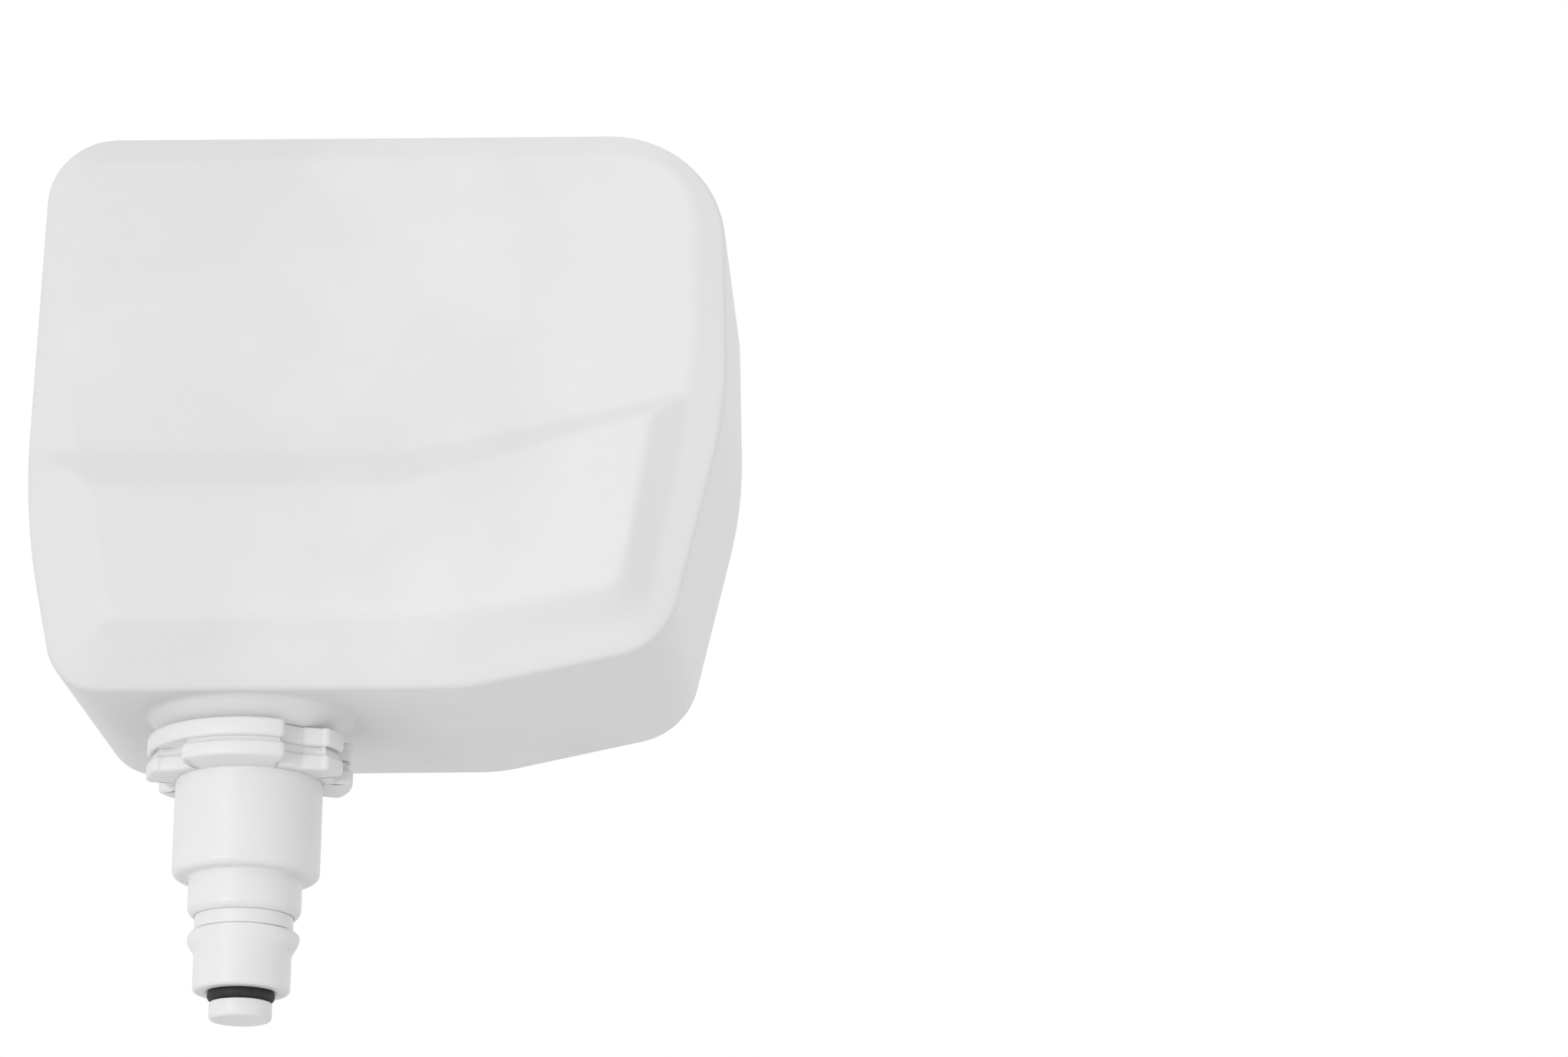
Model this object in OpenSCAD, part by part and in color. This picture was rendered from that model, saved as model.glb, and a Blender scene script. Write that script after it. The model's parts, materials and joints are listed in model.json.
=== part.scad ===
// Tank-mounted float valve: a hollow moulded tank with a keyed collar and a spring-closed
// plug-in sleeve valve in its base. Millimetres, +Z up, front towards -Y.
// The origin is on the valve axis, at the top of the housing's spigot, just under the locking ring.

/* [Tank] */
// Width of the tank across its widest part
tank_w = 144.2; // [125:0.1:165]
// Height of the tank from its floor to its top
tank_h = 120.4; // [105:0.1:140]
// Depth of the tank from the front of its raised band to its back
tank_d = 79.3; // [70:0.1:95]
// Wall thickness of the blow-moulded tank
tank_wall = 1.6; // [1:0.1:2.4]
// Distance from the tank's left side to the valve axis
valve_from_left = 45; // [38:0.1:60]
// Distance from the front of the raised band to the valve axis
valve_from_front = 32.1; // [30:0.1:38]
// Depth of the bevelled front, from the front of the raised band to the crease
bevel_d = 8.6; // [7:0.2:12]
// Radius of the top left corner
corner_left_r = 14; // [6:0.5:18]
// Radius of the top right corner
corner_right_r = 24.5; // [12:0.5:30]
// Rounding of the edge around the back
back_round = 5; // [3:0.5:10]

/* [Tank front] */
// How far the lower band stands out from the upper face
band_step = 5; // [2:0.1:6]
// Height of the band's upper edge above the tank floor, at its bend
band_h = 39.6; // [34:0.2:48]
// Rise of the band's upper edge from the bend to its right end
band_rise = 15.2; // [8:0.2:20]
// Height of the ramp from that edge up to the upper face, at the bend
ramp_h = 9.1; // [6:0.1:14]

/* [Tank neck] */
// Outer diameter of the tank neck
neck_d = 28; // [27.6:0.1:28.4]
// Wall thickness of the tank neck
neck_wall = 1.6; // [1.2:0.05:1.7]
// Diameter of the swelling around the neck, at the tank floor
boss_d = 41; // [36:0.5:46]
// Height of that swelling
boss_h = 4.6; // [3:0.2:6]

/* [Keyed rings] */
// Diameter across the lobes of both rings
ring_d = 42.2; // [39:0.1:45]
// Diameter of both rings between their lobes
ring_root_d = 34.8; // [34.6:0.1:36]
// Thickness of the neck collar's lobes
collar_t = 3.8; // [3:0.1:5]
// Thickness of the locking ring's lobes
lock_t = 3.4; // [3:0.1:4.4]
// Groove between the two rows of lobes
ring_gap = 1.8; // [1.5:0.1:3]
// Depth of that groove in the lobes
groove_d = 1; // [0.6:0.1:3]
// Wall of the neck collar's hub around the neck
hub_wall = 1.5; // [1.2:0.05:1.7]
// Radial height of the bayonet lugs
lug_r = 0.7; // [0.5:0.05:0.75]
// Distance from the axis to the straight front flanks of the side lobes
wing_y = 12; // [9:0.5:15]
// Angle that each bayonet lug spans
lug_angle = 40; // [25:1:50]

/* [Valve housing] */
// Diameter of the housing spigot under the locking ring
body_d = 30; // [29.6:0.1:30.2]
// Length of the housing spigot
body_l = 19.9; // [17:0.1:24]
// Diameter of the second step of the housing
step_d = 23; // [22.6:0.1:25]
// Length of the second step
step_l = 8.1; // [7:0.1:10]
// Diameter of the housing bore that the sleeve head slides in
bore_d = 21; // [20.9:0.05:21.2]
// Thickness of the housing flange that the locking ring clamps
flange_t = 1.2; // [1:0.1:1.4]
// Length of the housing tube that stands up inside the neck
tube_l = 13.75; // [12:0.25:16]
// Thickness of the flat gasket under the neck
gasket_t = 0.8; // [0.6:0.05:1.2]

/* [Sleeve and nozzle] */
// Diameter of the sliding sleeve where it leaves the housing
sleeve_d = 20; // [19.7:0.05:20.1]
// Bore of the sliding sleeve
sleeve_bore_d = 14.4; // [13.6:0.1:14.8]
// Travel of the sleeve and nozzle, until the ears meet the housing
stroke = 2.75; // [2:0.05:3.5]
// Diameter of the nozzle barrel
nozzle_d = 19.7; // [19.5:0.05:20]
// Length of the barrel below the ears
barrel_l = 8.3; // [7.5:0.1:10]
// Width across the two ears of the nozzle
ear_span = 23; // [22:0.1:25]
// Height of the ears
ear_h = 4.2; // [3.6:0.1:5]
// Diameter of the nozzle mouth at its lower face
mouth_d = 14.2; // [14:0.05:14.6]

/* [Stem and tip] */
// Diameter of the fixed stem
stem_d = 5; // [4:0.1:5.4]
// Outside diameter of the black tip seal
seal_d = 13.7; // [13.5:0.05:13.7]
// Cord diameter of the black tip seal
seal_cord = 2.6; // [2.4:0.05:2.8]
// Diameter of the tip disc
tip_d = 12.7; // [12:0.1:13.4]
// Thickness of the tip disc
tip_t = 3.6; // [3:0.1:5]

/* [Return spring] */
// Wire diameter of the return spring
wire_d = 0.9; // [0.7:0.05:1]
// Number of coils
coils = 6; // [4:1:8]

/* [Float] */
// Diameter of the hollow float ball
ball_d = 16; // [14:0.5:18]
// Height of the inlet cage above the housing tube
cage_h = 18; // [16:0.5:24]
// How far the float ball can rise
float_rise = 8; // [4:0.5:8]

/* [Fits] */
// Radial gap of parts that slide or turn in each other
slide_gap = 0.08; // [0.04:0.01:0.1]
// Flat gap between faces that turn or slide past each other
face_gap = 0.05; // [0.03:0.01:0.08]

/* [Hidden] */
$fn = 96;
eps = 0.01;

// Heights, from the top of the housing's spigot (z = 0) upwards
ring_z = 0.1;
lip_t = 1;
flange_z = lip_t + face_gap;
flange_top = flange_z + flange_t;
neck_end = flange_top + gasket_t;
hub_z = flange_top + 0.1;
lug_t = 1;
lug_top = hub_z + lug_t;
collar_z = lock_t + ring_gap;
cup_top = collar_z - face_gap * 2;
collar_top = collar_z + collar_t;
floor_z = collar_top + boss_h;
tank_top = floor_z + tank_h;

// Radii of the neck, its rings and the housing
neck_r = neck_d / 2;
neck_bore_r = neck_r - neck_wall;
hub_r = neck_r + hub_wall;
lug_out_r = hub_r + lug_r;
cup_r = lug_out_r + slide_gap * 2;
ring_r = ring_d / 2;
root_r = ring_root_d / 2;
lobe_in_r = root_r - 0.5;
foot_r = lobe_in_r - 1.5;
body_r = body_d / 2;
bore_r = bore_d / 2;
tube_r = neck_bore_r - 0.2;
tube_wall = 1;
tube_bore_r = tube_r - tube_wall;
tube_top = flange_top + tube_l;

// Heights of the valve below the locking ring
body_z = -body_l;
step_z = body_z - step_l;
lip_top = step_z + 1.5;
ear_top = step_z - stroke - face_gap;
ear_z = ear_top - ear_h;
mouth_z = ear_z - barrel_l;

// Sliding sleeve and nozzle
sleeve_r = sleeve_d / 2;
sleeve_bore_r = sleeve_bore_d / 2;
head_r = bore_r - slide_gap;
head_z = lip_top + face_gap;
head_l = 5;
head_top = head_z + head_l;
head_groove_r = head_r - 1.1;
head_groove_z = head_z + 1.6;
groove_h = 1.4;
spigot_wall = 1.7;
spigot_r = sleeve_bore_r + spigot_wall;
spigot_end = ear_top - 5.2;
spigot_groove_z = ear_top - 3.2;
spigot_groove_r = spigot_r - 0.9;
nozzle_r = nozzle_d / 2;
nozzle_bore_r = sleeve_bore_r + 0.4;
mouth_r = mouth_d / 2;
throat_r = 5.4;
throat_z = mouth_z + (mouth_r - throat_r) / 2;
edge_r = 0.8;

// Stem, tip seal and tip disc
stem_r = stem_d / 2;
cord_r = seal_cord / 2;
seal_mid_r = seal_d / 2 - cord_r;
seal_z = mouth_z - 0.7;
tip_top = seal_z - cord_r - face_gap;
tip_z = tip_top - tip_t;
tip_hub_r = seal_mid_r - cord_r - face_gap;
tip_hub_top = seal_z + cord_r + face_gap;
stop_r = 4.9;

// Stem bridge and what holds it
bridge_z = -3.4;
bridge_t = 2;
bridge_top = bridge_z + bridge_t;
snap_t = 1;
snap_groove_r = tube_bore_r + 0.6;
hub_low = bridge_z - 1.6;
hub_top = bridge_top + snap_t;
washer_t = 0.8;
nut_t = 2.8;
stem_top = hub_top + washer_t + nut_t + 1;

// Return spring
spring_washer_t = 0.5;
spring_low = head_top + spring_washer_t;
spring_r = head_r - 1;
wire_r = wire_d / 2;

// Float, its seat and its cage
ball_r = ball_d / 2;
seat_t = 2;
seat_hole_r = ball_r - 1.5;
seat_top = tube_top - 7;
ball_z = seat_top + sqrt(ball_r * ball_r - seat_hole_r * seat_hole_r) + face_gap;
cage_plug_r = tube_bore_r - 0.1;
cage_top = max(tube_top + cage_h, ball_z + ball_r + float_rise + 3);
cage_lid = 1.5;
screen_r = tube_r - 1.3;
screen_t = 0.5;

// Lobes of both rings, as [start, end] in degrees from the front, positive to the right. Where a lobe's
// front flank runs straight across the ring, two more angles give its feet inside the ring's hub.
function flank(r) = acos(wing_y / r);
RIGHT_WING = [flank(ring_r), 75, flank(foot_r), 75];
LEFT_WING = [276, 360 - flank(ring_r), 276, 360 - flank(foot_r)];
REAR_LOBES = [[91, 127], [148, 212], [230, 254]];
COLLAR_LOBES = concat([[-84, 29], RIGHT_WING], REAR_LOBES);
LOCK_LOBES = concat([[-33.5, 29.5], RIGHT_WING], REAR_LOBES, [LEFT_WING]);
LUGS = [for (k = [0:2]) [k * 120 - lug_angle / 2, k * 120 + lug_angle / 2]];

// Colours as in the photograph
milky = [0.93, 0.93, 0.92];
white = [0.96, 0.96, 0.96];
black = [0.08, 0.08, 0.08];
steel = [0.7, 0.71, 0.73];

// ---- shared shapes ----

// Points of an arc about c, from angle a to angle b
function arc(c, r, a, b, n = 8) = [for (i = [0:n]) let (t = a + (b - a) * i / n) c + r * [cos(t), sin(t)]];

function unit(v) = v / norm(v);

// One rounded corner at q, between its neighbours p and s
function rounded(p, q, s, r, n = 8) =
    let (u = unit(p - q), v = unit(s - q), half = acos(u * v) / 2, m = unit(u + v))
    let (c = q + m * r / sin(half), a = q + u * r / tan(half) - c, b = q + v * r / tan(half) - c)
    let (t0 = atan2(a[1], a[0]), d = atan2(b[1], b[0]) - t0)
    let (turn = d > 180 ? d - 360 : (d < -180 ? d + 360 : d))
    arc(c, r, t0, t0 + turn, n);

// A closed outline through corners [x, y, radius], each one rounded
function outline(v) = [for (i = [0:len(v) - 1])
    let (k = len(v), p = v[(i + k - 1) % k], q = v[i], s = v[(i + 1) % k])
    each rounded([p[0], p[1]], [q[0], q[1]], [s[0], s[1]], q[2])];

// A place at an angle measured from the front
function around(r, t) = r * [sin(t), -cos(t)];

// An upright wedge over a lobe, from its feet at foot_r out past r_out
module wedge(s, r_out, z0, z1) {
    reach = r_out * 2;
    feet = len(s) > 2 ? [s[2], s[3]] : [s[0], s[1]];
    flanks = [for (k = [0:1]) let (foot = around(foot_r, feet[k]))
        foot + (around(r_out, s[k]) - foot) * 4];
    translate([0, 0, z0])
        linear_extrude(z1 - z0)
            polygon(concat([around(foot_r, feet[0]), flanks[0]],
                [for (i = [1:7]) around(reach, s[0] + (s[1] - s[0]) * i / 8)],
                [flanks[1], around(foot_r, feet[1])],
                [for (i = [7:-1:1]) around(foot_r, feet[0] + (feet[1] - feet[0]) * i / 8)]));
}

module ring(r_in, r_out, z0, z1) {
    translate([0, 0, z0])
        difference() {
            cylinder(r = r_out, h = z1 - z0);
            translate([0, 0, -eps])
                cylinder(r = r_in, h = z1 - z0 + 2 * eps);
        }
}

// A row of lobes standing out from r_in to r_out
module lobes(list, r_in, r_out, z0, z1) {
    for (s = list)
        intersection() {
            ring(r_in, r_out, z0, z1);
            wedge(s, r_out, z0, z1);
        }
}

// A flat slab of a front-view outline, standing at depth y
module slab(points, y, t, inset = 0) {
    translate([0, y + t, 0])
        rotate([90, 0, 0])
            linear_extrude(t)
                offset(delta = -inset)
                    polygon(points);
}

// ---- tank ----

left = -valve_from_left;
right = tank_w - valve_from_left;
front = -valve_from_front;
back = front + tank_d;
crease = front + bevel_d;
face_y = front + band_step;
bend_x = left + 0.537 * tank_w;

// A corner at a share of the tank's width and height, with a rounding that is a share of its width
function corner(across, up, round) = [left + across * tank_w, floor_z + up * tank_h, round * tank_w];

// Outline of the tank at its crease, seen from the front
CREASE = outline([
    [left + 1.4, tank_top, corner_left_r],
    corner(0, 0.314, 1.03),
    corner(0.0575, 0, 0.08),
    corner(0.637, 0, 0.27),
    corner(0.917, 0.071, 0.105),
    corner(1, 0.492, 0.63),
    [right - 1.2, tank_top - 1, corner_right_r]]);

// Outline of the flat upper face
FACE = outline([
    corner(0.058, 0.944, 0.042),
    corner(0.062, 0.46, 0.21),
    corner(0.14, 0.17, 0.02),
    corner(0.632, 0.17, 0.14),
    corner(0.86, 0.21, 0.06),
    corner(0.952, 0.55, 0.35),
    corner(0.952, 0.944, 0.105)]);

// Outline of the raised band, which ends at its upper edge
BAND = outline([
    corner(0.0855, 0.45, 0.02),
    corner(0.1335, 0.11, 0.02),
    corner(0.632, 0.11, 0.14),
    corner(0.855, 0.153, 0.03),
    corner(0.907, 0.55, 0.02)]);

// The band's upper edge and the ramp's, as [height at the bend, climb to its left, climb to its right]
BAND_TOP = [floor_z + band_h, -0.018, band_rise / (0.357 * tank_w)];
RAMP_TOP = [floor_z + band_h + ramp_h, -0.019, 0.7 * band_rise / (0.357 * tank_w)];

// The part of a convex outline on one side of a line, where n * point is at most d
function clip(points, n, d) = [for (i = [0:len(points) - 1])
    let (p = points[i], q = points[(i + 1) % len(points)], a = d - n * p, b = d - n * q)
    each concat(a >= 0 ? [p] : [], a * b < 0 ? [p + (q - p) * a / (a - b)] : [])];

// The part of an outline under an upper edge, to the right (side 1) or left (side -1) of the bend and a
// little past it
function under(points, top, side, past = 3) =
    let (climb = side > 0 ? top[2] : top[1])
    clip(clip(points, [-climb, 1], top[0] - climb * bend_x), [-side, 0], past - side * bend_x);

// The closed outer shape, shrunk by a wall thickness for the cavity: a bevelled block, with the raised
// band and its ramp on each side of the bend. The cavity of the band is drawn in a little more than the
// block's, so that their faces don't coincide.
module tank_block(inset) {
    foot_d = 6;
    hull() {
        slab(FACE, face_y + inset, eps, inset * 0.6);
        slab(CREASE, crease, back - back_round - crease, inset);
        slab(CREASE, back - back_round * 0.3 - inset, eps, back_round * 0.3 + inset);
        slab(CREASE, back - inset - eps, eps, back_round + inset);
    }
    for (side = [-1, 1])
        hull() {
            slab(under(BAND, BAND_TOP, side), front + inset, eps, inset * 0.6);
            slab(under(FACE, RAMP_TOP, side), face_y + inset * 1.02, eps, inset * 0.9);
            slab(under(CREASE, RAMP_TOP, side), crease, foot_d, inset * 1.2);
        }
}

module tank_shell() {
    color(milky)
        union() {
            difference() {
                tank_block(0);
                tank_block(tank_wall);
                translate([0, 0, floor_z - 1])
                    cylinder(r = neck_bore_r, h = tank_wall + 2);
            }
            rotate_extrude()
                polygon([[neck_bore_r, neck_end], [neck_r, neck_end], [neck_r, collar_top],
                         [boss_d / 2 - 2.5, collar_top], [boss_d / 2 - 0.8, collar_top + boss_h / 2],
                         [boss_d / 2, floor_z + eps], [boss_d / 2, floor_z + tank_wall],
                         [boss_d / 2 - tank_wall - 3, collar_top + tank_wall],
                         [neck_bore_r, collar_top + tank_wall]]);
        }
}

// ---- rings on the neck ----

module neck_collar() {
    color(white) {
        ring(neck_r, hub_r, hub_z, collar_z);
        ring(neck_r, root_r, collar_z, collar_top);
        lobes(COLLAR_LOBES, lobe_in_r, ring_r, collar_z, collar_top);
        lobes(LUGS, hub_r - 0.5, lug_out_r, hub_z, lug_top);
    }
}

module lock_ring() {
    color(white) {
        ring(body_r + face_gap, root_r, ring_z, lip_t);
        ring(cup_r, root_r, lip_t, cup_top);
        difference() {
            lobes(LOCK_LOBES, lobe_in_r, ring_r, ring_z, cup_top);
            ring(ring_r - groove_d, ring_r + 1, lock_t, collar_z);
        }
        lobes(LUGS, hub_r + slide_gap, cup_r + 0.3, lug_top + face_gap, cup_top);
    }
}

module neck_gasket() {
    color(black)
        ring(tube_r, neck_r - 0.1, flange_top, neck_end);
}

// ---- valve housing ----

module valve_housing() {
    r1 = 1.5;
    r2 = 1.9;
    relief = 0.6;
    hole_r = sleeve_r + slide_gap;
    cut = acos(max(0, (hole_r - step_d / 2 + r2) / r2));
    color(white)
        rotate_extrude()
            polygon(concat(
                arc([step_d / 2 - r2, step_z + r2], r2, -cut, 0),
                [[step_d / 2, body_z]],
                arc([body_r - r1, body_z + r1], r1, -90, 0),
                [[body_r, 0], [body_r - relief, 0], [body_r - relief, flange_z],
                 [lug_out_r, flange_z], [lug_out_r, flange_top], [tube_r, flange_top],
                 [tube_r, tube_top], [tube_bore_r, tube_top],
                 [tube_bore_r, bridge_top + snap_t], [snap_groove_r, bridge_top + snap_t],
                 [snap_groove_r, bridge_top], [tube_bore_r, bridge_top],
                 [tube_bore_r, bridge_z], [bore_r, bridge_z],
                 [bore_r, lip_top], [hole_r, lip_top]]));
}

// ---- sliding sleeve, nozzle and their seals ----

module nozzle_sleeve() {
    color(white)
        rotate_extrude()
            polygon([[sleeve_bore_r, spigot_end], [spigot_r, spigot_end],
                     [spigot_r, spigot_groove_z], [spigot_groove_r, spigot_groove_z],
                     [spigot_groove_r, spigot_groove_z + groove_h],
                     [spigot_r, spigot_groove_z + groove_h], [spigot_r, ear_top + 0.1],
                     [sleeve_r, ear_top + 0.1], [sleeve_r, head_z], [head_r, head_z],
                     [head_r, head_groove_z], [head_groove_r, head_groove_z],
                     [head_groove_r, head_groove_z + groove_h],
                     [head_r, head_groove_z + groove_h], [head_r, head_top],
                     [sleeve_bore_r + 0.6, head_top], [sleeve_bore_r, head_top - 0.6]]);
}

// Both ears: a turned collar cut to a lens, so that it fades into the barrel front and back
module ears() {
    half = ear_span / 2;
    shift = (half * half - nozzle_r * nozzle_r) / (2 * nozzle_r);
    lens_r = nozzle_r + shift;
    intersection() {
        rotate_extrude()
            polygon(concat([[nozzle_r - 0.6, ear_z]], [[nozzle_r, ear_z]],
                arc([half - 1.2, ear_top - 1.9], 1.2, -40, 60, 6),
                [[half - 1.1, ear_top], [nozzle_r - 0.6, ear_top]]));
        translate([0, -shift, ear_z - 1])
            cylinder(r = lens_r, h = ear_h + 2);
        translate([0, shift, ear_z - 1])
            cylinder(r = lens_r, h = ear_h + 2);
    }
}

module nozzle() {
    socket_r = spigot_r + 0.02;
    color(white)
        union() {
            rotate_extrude()
                polygon(concat([[mouth_r, mouth_z]],
                    arc([nozzle_r - edge_r, mouth_z + edge_r], edge_r, -90, 0, 5),
                    [[nozzle_r, ear_top], [socket_r, ear_top], [socket_r, spigot_end],
                     [nozzle_bore_r, spigot_end], [nozzle_bore_r, throat_z + 2],
                     [throat_r, throat_z + 0.6], [throat_r, throat_z]]));
            ears();
        }
}

// An O-ring squeezed to the width of its groove
module groove_ring(r_in, r_out, z) {
    color(black)
        rotate_extrude()
            translate([(r_in + r_out) / 2, z + groove_h / 2])
                circle(r = min((r_out - r_in) / 2, groove_h / 2 - face_gap), $fn = 32);
}

module sleeve_oring() {
    groove_ring(head_groove_r, head_r + slide_gap / 2, head_groove_z);
}

module nozzle_oring() {
    groove_ring(spigot_groove_r, spigot_r, spigot_groove_z);
}

module spring_washer() {
    color(steel)
        ring(sleeve_bore_r + 0.8, head_r - 0.2, head_top, spring_low);
}

// Round wire wound into an open coil between its washer and the stem bridge
module return_spring() {
    sides = 8;
    per_turn = 20;
    steps = coils * per_turn;
    low = spring_low + wire_r;
    rise = bridge_z - wire_r - low;
    rows = [for (i = [0:steps]) let (t = i / steps, a = 360 * coils * t)
        [for (k = [0:sides - 1]) let (b = 360 * k / sides, r = spring_r + wire_r * cos(b))
            [r * cos(a), r * sin(a), low + rise * t + wire_r * sin(b)]]];
    color(steel)
        polyhedron(
            points = [for (row = rows) each row],
            faces = concat(
                [[for (k = [0:sides - 1]) k]],
                [for (i = [0:steps - 1]) for (k = [0:sides - 1])
                    [i * sides + k, (i + 1) * sides + k,
                     (i + 1) * sides + (k + 1) % sides, i * sides + (k + 1) % sides]],
                [[for (k = [sides - 1:-1:0]) steps * sides + k]]));
}

// ---- fixed stem and tip ----

module stem_bridge() {
    rim_r = spring_r - 0.9;
    color(white)
        difference() {
            union() {
                ring(rim_r, tube_bore_r - face_gap, bridge_z, bridge_top);
                translate([0, 0, hub_low])
                    cylinder(r = stem_r + 1.5, h = hub_top - hub_low);
                for (k = [0:2])
                    rotate([0, 0, k * 120])
                        translate([stem_r + 1, -1.1, bridge_z])
                            cube([rim_r - stem_r, 2.2, bridge_t]);
            }
            translate([0, 0, hub_low - eps])
                cylinder(r = stem_r, h = hub_top - hub_low + 2 * eps);
        }
}

// Split retaining ring sprung into its groove above the bridge
module snap_ring() {
    color(steel)
        difference() {
            ring(tube_bore_r - 1.4, snap_groove_r - face_gap, bridge_top, bridge_top + snap_t);
            translate([0, -1.2, bridge_top - 1])
                cube([snap_groove_r * 2, 2.4, snap_t + 2]);
        }
}

module poppet_stem() {
    color(white)
        rotate_extrude()
            polygon([[0, tip_z + 1.5], [stem_r, tip_z + 1.5], [stem_r, tip_hub_top],
                     [stop_r, tip_hub_top], [stop_r, tip_hub_top + 0.9],
                     [stem_r, tip_hub_top + 3], [stem_r, hub_low - 1.2],
                     [stem_r + 1.1, hub_low - 1.2], [stem_r + 1.1, hub_low],
                     [stem_r, hub_low], [stem_r, stem_top - 0.5],
                     [stem_r - 0.5, stem_top], [0, stem_top]]);
}

module stem_washer() {
    color(steel)
        ring(stem_r, stem_r + 1.9, hub_top, hub_top + washer_t);
}

module stem_nut() {
    color(steel)
        translate([0, 0, hub_top + washer_t])
            difference() {
                cylinder(r = stem_r + 2.1, h = nut_t, $fn = 6);
                translate([0, 0, -eps])
                    cylinder(r = stem_r, h = nut_t + 2 * eps);
            }
}

module tip_disc() {
    tip_r = tip_d / 2;
    edge = 0.7;
    dish = 0.5;
    color(white)
        rotate_extrude()
            polygon(concat([[0, tip_z + dish], [tip_r * 0.45, tip_z + dish * 0.8]],
                arc([tip_r - edge, tip_z + edge], edge, -90, 0, 5),
                arc([tip_r - 0.3, tip_top - 0.3], 0.3, 0, 90, 3),
                [[tip_hub_r, tip_top], [tip_hub_r, tip_hub_top], [stem_r, tip_hub_top],
                 [stem_r, tip_z + 1.5], [0, tip_z + 1.5]]));
}

module tip_oring() {
    color(black)
        rotate_extrude()
            translate([seal_mid_r, seal_z])
                circle(r = cord_r, $fn = 48);
}

// ---- float, seat and inlet cage ----

module float_ball() {
    color(milky)
        translate([0, 0, ball_z])
            difference() {
                sphere(r = ball_r);
                sphere(r = ball_r - 0.9);
            }
}

module float_seat() {
    color(black)
        ring(seat_hole_r, cage_plug_r, seat_top - seat_t, seat_top);
}

module inlet_cage() {
    windows = 6;
    window_w = 8;
    window_d = 4;
    color(white)
        difference() {
            union() {
                ring(cage_plug_r - 1, cage_plug_r, seat_top, tube_top + eps);
                ring(cage_plug_r - 1, tube_r, tube_top, tube_top + 1);
                ring(screen_r, tube_r, tube_top + 1 - eps, cage_top - cage_lid + eps);
                translate([0, 0, cage_top - cage_lid])
                    cylinder(r = tube_r, h = cage_lid);
            }
            for (k = [0:windows - 1])
                rotate([0, 0, k * 360 / windows])
                    translate([screen_r - 2, -window_w / 2, tube_top + 2.5])
                        cube([window_d, window_w, cage_top - cage_lid - tube_top - 4]);
        }
}

// Slotted screen inside the cage's windows
module strainer_screen() {
    slots = 18;
    slot_w = 0.8;
    low = tube_top + 1;
    high = cage_top - cage_lid;
    color(milky)
        difference() {
            ring(screen_r - screen_t, screen_r, low, high);
            for (k = [0:slots - 1])
                rotate([0, 0, (k + 0.5) * 360 / slots])
                    translate([screen_r - screen_t - 1, -slot_w / 2, low + 2])
                        cube([screen_t + 2, slot_w, high - low - 4]);
        }
}

tank_shell();
neck_collar();
lock_ring();
neck_gasket();
valve_housing();
nozzle_sleeve();
nozzle();
sleeve_oring();
nozzle_oring();
spring_washer();
return_spring();
stem_bridge();
snap_ring();
poppet_stem();
stem_washer();
stem_nut();
tip_disc();
tip_oring();
float_ball();
float_seat();
inlet_cage();
strainer_screen();
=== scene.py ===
"""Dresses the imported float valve: a milky blow-moulded tank, its keyed rings and its plug-in valve.

Lengths in the property groups are in millimetres along the valve's own axes; meshes are in metres.
"""
import json
import math

import bmesh
import bpy
from bpy.props import FloatProperty, FloatVectorProperty, IntProperty, PointerProperty
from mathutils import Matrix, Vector, noise


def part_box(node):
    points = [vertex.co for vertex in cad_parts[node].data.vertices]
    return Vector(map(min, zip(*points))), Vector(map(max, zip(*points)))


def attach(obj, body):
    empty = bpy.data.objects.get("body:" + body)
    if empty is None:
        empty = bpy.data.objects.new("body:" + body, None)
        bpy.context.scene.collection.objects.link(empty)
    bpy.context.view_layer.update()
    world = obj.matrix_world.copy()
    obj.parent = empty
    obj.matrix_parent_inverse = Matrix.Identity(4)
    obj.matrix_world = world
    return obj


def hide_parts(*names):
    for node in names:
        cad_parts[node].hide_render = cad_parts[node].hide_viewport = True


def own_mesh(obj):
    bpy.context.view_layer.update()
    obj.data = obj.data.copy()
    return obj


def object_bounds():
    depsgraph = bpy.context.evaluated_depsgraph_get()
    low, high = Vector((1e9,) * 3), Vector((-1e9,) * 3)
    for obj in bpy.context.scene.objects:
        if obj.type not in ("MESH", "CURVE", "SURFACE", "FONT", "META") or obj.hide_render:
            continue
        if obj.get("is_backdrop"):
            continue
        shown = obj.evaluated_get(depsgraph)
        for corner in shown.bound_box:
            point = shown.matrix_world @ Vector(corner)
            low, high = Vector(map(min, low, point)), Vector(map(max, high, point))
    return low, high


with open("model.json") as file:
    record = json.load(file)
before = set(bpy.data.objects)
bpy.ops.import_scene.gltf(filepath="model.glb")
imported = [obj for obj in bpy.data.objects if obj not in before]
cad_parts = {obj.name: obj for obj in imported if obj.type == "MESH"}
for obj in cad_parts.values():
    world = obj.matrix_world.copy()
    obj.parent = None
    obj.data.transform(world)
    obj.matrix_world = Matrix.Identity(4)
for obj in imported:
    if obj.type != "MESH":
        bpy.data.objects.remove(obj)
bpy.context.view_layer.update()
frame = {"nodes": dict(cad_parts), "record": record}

bl_info = {
    "name": "Tank float valve",
    "version": (1, 0, 0),
    "blender": (4, 5, 0),
    "location": "View3D > Sidebar > Float valve",
    "description": "Builds the finished look of a tank with a plug-in float valve around its packed model",
    "category": "Add Mesh",
}

MM = 0.001
LOBE_TOP = 3.4  # height of the locking ring's lobes, which sets the camera
TANK_BODY = "tank_and_housing"
NOZZLE_BODY = "nozzle_group"
RING_BODY = "locking_ring"

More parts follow.
